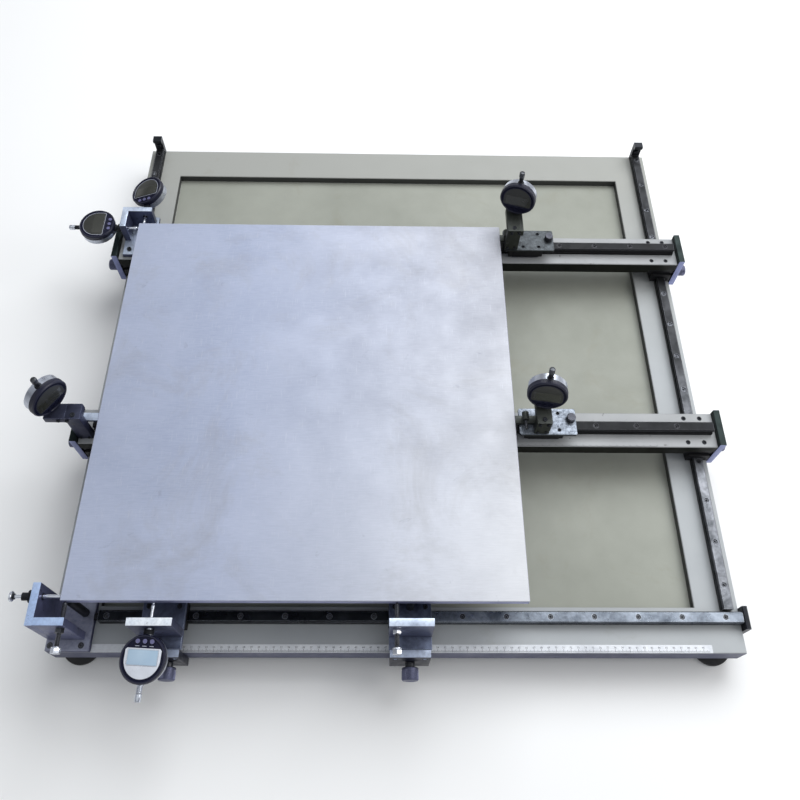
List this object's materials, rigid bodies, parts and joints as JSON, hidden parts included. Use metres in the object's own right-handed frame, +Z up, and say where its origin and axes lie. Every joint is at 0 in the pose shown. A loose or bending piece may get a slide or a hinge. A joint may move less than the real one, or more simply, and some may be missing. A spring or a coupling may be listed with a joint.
{
  "type": "plate squareness gauge table",
  "caption": "Flat gauge table with guide rails, cross beams, stops and digital indicators for checking the squareness and edges of a square plate.",
  "frame": {"origin": "on the floor under the middle of the whole object", "axes": "+X along the front edge to the right, +Y to the back, +Z up"},
  "size_m": [1.0521, 0.9637, 0.2743],
  "materials": {
    "base_paint": "satin hammered paint, worn at the edges",
    "beam_paint": "satin paint",
    "rail_steel": "ground and oiled",
    "plate_steel": "ground, with a faint cross grain",
    "bracket_steel": "ground, lightly stained",
    "dark_steel": "blackened and oiled",
    "screw_steel": "plain",
    "knob_steel": "knurled",
    "ruler_steel": "satin with engraved marks",
    "indicator_case": "black bezel",
    "spindle_steel": "polished",
    "button_plastic": "moulded",
    "foot_rubber": "matt black"
  },
  "bodies": {
    "table": {"base_plate": "base_paint", "front_rail": "rail_steel", "side_rails": "rail_steel", "rail_end_stops": "rail_steel", "table_fasteners": "screw_steel", "steel_ruler": "ruler_steel", "corner_block": "bracket_steel", "corner_walls": "bracket_steel", "corner_post_and_sleeve": "dark_steel"},
    "plate": {"standard_plate": "plate_steel"},
    "corner_stop": {"corner_stop_screw": "dark_steel"},
    "plunger": {"corner_plunger": "dark_steel"},
    "left_bracket": {"left_bracket_block": "dark_steel", "left_bracket_plates": "bracket_steel", "front_indicator_case": "indicator_case"},
    "right_bracket": {"right_bracket_block": "dark_steel", "right_bracket_plates": "bracket_steel"},
    "right_stop": {"right_stop_screw": "dark_steel"},
    "left_bracket_clamp": {"left_bracket_knob": "knob_steel"},
    "right_bracket_clamp": {"right_bracket_knob": "knob_steel"},
    "front_cross_beam": {"front_beam": "beam_paint", "front_beam_rail": "rail_steel", "front_beam_end_fittings": "bracket_steel", "beam_end_bracket": "bracket_steel", "beam_end_indicator_case": "indicator_case"},
    "rear_cross_beam": {"rear_beam": "beam_paint", "rear_beam_rail": "rail_steel", "rear_beam_end_fittings": "bracket_steel", "rear_corner_bracket": "bracket_steel", "left_indicator_case": "indicator_case", "back_indicator_case": "indicator_case"},
    "front_carriage": {"front_beam_carriage": "bracket_steel", "front_beam_indicator_case": "indicator_case"},
    "rear_carriage": {"rear_beam_carriage": "bracket_steel", "rear_beam_indicator_case": "indicator_case"},
    "foot_front_left": {"levelling_foot_front_left": "foot_rubber"},
    "foot_front_right": {"levelling_foot_front_right": "foot_rubber"},
    "foot_rear_left": {"levelling_foot_rear_left": "foot_rubber"},
    "foot_rear_right": {"levelling_foot_rear_right": "foot_rubber"},
    "front_beam_clamp_left": {"front_beam_knob_left": "knob_steel"},
    "front_beam_clamp_right": {"front_beam_knob_right": "knob_steel"},
    "front_carriage_lock": {"front_beam_lock_screw": "knob_steel"},
    "rear_beam_clamp_left": {"rear_beam_knob_left": "knob_steel"},
    "rear_beam_clamp_right": {"rear_beam_knob_right": "knob_steel"},
    "rear_carriage_lock": {"rear_beam_lock_screw": "knob_steel"},
    "front_spindle": {"front_indicator_spindle": "spindle_steel"},
    "front_buttons": {"front_indicator_buttons": "button_plastic"},
    "left_spindle": {"left_indicator_spindle": "spindle_steel"},
    "left_buttons": {"left_indicator_buttons": "button_plastic"},
    "back_spindle": {"back_indicator_spindle": "spindle_steel"},
    "back_buttons": {"back_indicator_buttons": "button_plastic"},
    "beam_end_spindle": {"beam_end_indicator_spindle": "spindle_steel"},
    "beam_end_lever": {"beam_end_lever": "dark_steel"},
    "beam_end_buttons": {"beam_end_indicator_buttons": "button_plastic"},
    "front_beam_spindle": {"front_beam_indicator_spindle": "spindle_steel"},
    "front_beam_lever": {"front_beam_lever": "dark_steel"},
    "front_beam_buttons": {"front_beam_indicator_buttons": "button_plastic"},
    "rear_beam_spindle": {"rear_beam_indicator_spindle": "spindle_steel"},
    "rear_beam_lever": {"rear_beam_lever": "dark_steel"},
    "rear_beam_buttons": {"rear_beam_indicator_buttons": "button_plastic"}
  },
  "joints": [
    {"name": "plate_lift", "type": "slide", "parent": "table", "child": "plate", "axis": [0, 0, 1], "range_m": [0, 0.12]},
    {"name": "foot_turn_front_left", "type": "hinge", "parent": "table", "child": "foot_front_left", "pos_m": [-0.4186, -0.3932, 0.0115], "axis": [0, 0, 1], "continuous": true},
    {"name": "foot_turn_front_right", "type": "hinge", "parent": "table", "child": "foot_front_right", "pos_m": [0.4654, -0.3932, 0.0115], "axis": [0, 0, 1], "continuous": true},
    {"name": "foot_turn_rear_left", "type": "hinge", "parent": "table", "child": "foot_rear_left", "pos_m": [-0.4186, 0.4548, 0.0115], "axis": [0, 0, 1], "continuous": true},
    {"name": "foot_turn_rear_right", "type": "hinge", "parent": "table", "child": "foot_rear_right", "pos_m": [0.4654, 0.4548, 0.0115], "axis": [0, 0, 1], "continuous": true},
    {"name": "corner_stop_turn", "type": "hinge", "parent": "table", "child": "corner_stop", "pos_m": [-0.4046, -0.4132, 0.1475], "axis": [0, 1, 0], "continuous": true},
    {"name": "plunger_slide", "type": "slide", "parent": "table", "child": "plunger", "axis": [1, 0, 0], "range_m": [-0.008, 0], "stiffness_N_per_m": 200, "springref_m": 0.01},
    {"name": "left_bracket_slide", "type": "slide", "parent": "table", "child": "left_bracket", "axis": [1, 0, 0], "range_m": [-0.05, 0.12]},
    {"name": "right_bracket_slide", "type": "slide", "parent": "table", "child": "right_bracket", "axis": [1, 0, 0], "range_m": [-0.13, 0.38]},
    {"name": "right_stop_turn", "type": "hinge", "parent": "right_bracket", "child": "right_stop", "pos_m": [0.0184, -0.4132, 0.1475], "axis": [0, 1, 0], "continuous": true},
    {"name": "left_bracket_clamp_turn", "type": "hinge", "parent": "left_bracket", "child": "left_bracket_clamp", "pos_m": [-0.2846, -0.4282, 0.0555], "axis": [0, 1, 0], "range_deg": [0, 270]},
    {"name": "right_bracket_clamp_turn", "type": "hinge", "parent": "right_bracket", "child": "right_bracket_clamp", "pos_m": [0.0374, -0.4282, 0.0555], "axis": [0, 1, 0], "range_deg": [0, 270]},
    {"name": "front_beam_slide", "type": "slide", "parent": "table", "child": "front_cross_beam", "axis": [0, 1, 0], "range_m": [-0.15, 0.18]},
    {"name": "rear_beam_slide", "type": "slide", "parent": "table", "child": "rear_cross_beam", "axis": [0, 1, 0], "range_m": [0, 0.17]},
    {"name": "front_beam_clamp_left_turn", "type": "hinge", "parent": "front_cross_beam", "child": "front_beam_clamp_left", "pos_m": [-0.4666, -0.1132, 0.0585], "axis": [1, 0, 0], "range_deg": [0, 270]},
    {"name": "front_beam_clamp_right_turn", "type": "hinge", "parent": "front_cross_beam", "child": "front_beam_clamp_right", "pos_m": [0.5134, -0.1132, 0.0585], "axis": [1, 0, 0], "range_deg": [0, 270]},
    {"name": "front_carriage_slide", "type": "slide", "parent": "front_cross_beam", "child": "front_carriage", "axis": [1, 0, 0], "range_m": [0, 0.2]},
    {"name": "front_carriage_lock_turn", "type": "hinge", "parent": "front_carriage", "child": "front_carriage_lock", "pos_m": [0.2724, -0.1092, 0.1515], "axis": [0, 0, 1], "range_deg": [0, 270]},
    {"name": "rear_beam_clamp_left_turn", "type": "hinge", "parent": "rear_cross_beam", "child": "rear_beam_clamp_left", "pos_m": [-0.4666, 0.2133, 0.0585], "axis": [1, 0, 0], "range_deg": [0, 270]},
    {"name": "rear_beam_clamp_right_turn", "type": "hinge", "parent": "rear_cross_beam", "child": "rear_beam_clamp_right", "pos_m": [0.5134, 0.2133, 0.0585], "axis": [1, 0, 0], "range_deg": [0, 270]},
    {"name": "rear_carriage_slide", "type": "slide", "parent": "rear_cross_beam", "child": "rear_carriage", "axis": [1, 0, 0], "range_m": [0, 0.2]},
    {"name": "rear_carriage_lock_turn", "type": "hinge", "parent": "rear_carriage", "child": "rear_carriage_lock", "pos_m": [0.2724, 0.2173, 0.1515], "axis": [0, 0, 1], "range_deg": [0, 270]},
    {"name": "front_spindle_slide", "type": "slide", "parent": "left_bracket", "child": "front_spindle", "axis": [-0.0518, -0.9889, -0.1392], "range_m": [0, 0.01], "stiffness_N_per_m": 50, "springref_m": -0.02},
    {"name": "front_button_press", "type": "slide", "parent": "left_bracket", "child": "front_buttons", "axis": [0.0073, 0.139, -0.9903], "range_m": [0, 0.0005], "stiffness_N_per_m": 300, "springref_m": -0.0005},
    {"name": "left_spindle_slide", "type": "slide", "parent": "rear_cross_beam", "child": "left_spindle", "axis": [-1, 0, 0], "range_m": [0, 0.01], "stiffness_N_per_m": 50, "springref_m": -0.02},
    {"name": "left_button_press", "type": "slide", "parent": "rear_cross_beam", "child": "left_buttons", "axis": [0, 0, -1], "range_m": [0, 0.0005], "stiffness_N_per_m": 300, "springref_m": -0.0005},
    {"name": "back_spindle_slide", "type": "slide", "parent": "rear_cross_beam", "child": "back_spindle", "axis": [0, 1, 0], "range_m": [0, 0.01], "stiffness_N_per_m": 50, "springref_m": -0.02},
    {"name": "back_button_press", "type": "slide", "parent": "rear_cross_beam", "child": "back_buttons", "axis": [0.3746, 0, -0.9272], "range_m": [0, 0.0005], "stiffness_N_per_m": 300, "springref_m": -0.0005},
    {"name": "beam_end_lever_turn", "type": "hinge", "parent": "front_cross_beam", "child": "beam_end_lever", "pos_m": [-0.4386, -0.1132, 0.1655], "axis": [0, 1, 0], "range_deg": [0, 10]},
    {"name": "beam_end_spindle_slide", "type": "slide", "parent": "front_cross_beam", "child": "beam_end_spindle", "axis": [0, 0, 1], "range_m": [0, 0.0048], "stiffness_N_per_m": 50, "springref_m": -0.02},
    {"name": "beam_end_button_press", "type": "slide", "parent": "front_cross_beam", "child": "beam_end_buttons", "axis": [-0.8192, 0.5736, 0], "range_m": [0, 0.0005], "stiffness_N_per_m": 300, "springref_m": -0.0005},
    {"name": "front_beam_lever_turn", "type": "hinge", "parent": "front_carriage", "child": "front_beam_lever", "pos_m": [0.2034, -0.1132, 0.1615], "axis": [0, -1, 0], "range_deg": [0, 10]},
    {"name": "front_beam_spindle_slide", "type": "slide", "parent": "front_carriage", "child": "front_beam_spindle", "axis": [0, 0.2079, 0.9781], "range_m": [0, 0.0044], "stiffness_N_per_m": 50, "springref_m": -0.02},
    {"name": "front_beam_button_press", "type": "slide", "parent": "front_carriage", "child": "front_beam_buttons", "axis": [0.1564, 0.9661, -0.2054], "range_m": [0, 0.0005], "stiffness_N_per_m": 300, "springref_m": -0.0005},
    {"name": "rear_beam_lever_turn", "type": "hinge", "parent": "rear_carriage", "child": "rear_beam_lever", "pos_m": [0.1994, 0.2133, 0.1615], "axis": [0, -1, 0], "range_deg": [0, 10]},
    {"name": "rear_beam_spindle_slide", "type": "slide", "parent": "rear_carriage", "child": "rear_beam_spindle", "axis": [0, 0.2079, 0.9781], "range_m": [0, 0.0024], "stiffness_N_per_m": 50, "springref_m": -0.02},
    {"name": "rear_beam_button_press", "type": "slide", "parent": "rear_carriage", "child": "rear_beam_buttons", "axis": [0.342, 0.9192, -0.1954], "range_m": [0, 0.0005], "stiffness_N_per_m": 300, "springref_m": -0.0005}
  ],
  "couplings": [
    {"joint": "beam_end_lever_turn", "follows": "beam_end_spindle_slide", "rad_per_m": 35.714},
    {"joint": "front_beam_lever_turn", "follows": "front_beam_spindle_slide", "rad_per_m": 38.662},
    {"joint": "rear_beam_lever_turn", "follows": "rear_beam_spindle_slide", "rad_per_m": 71.923}
  ]
}
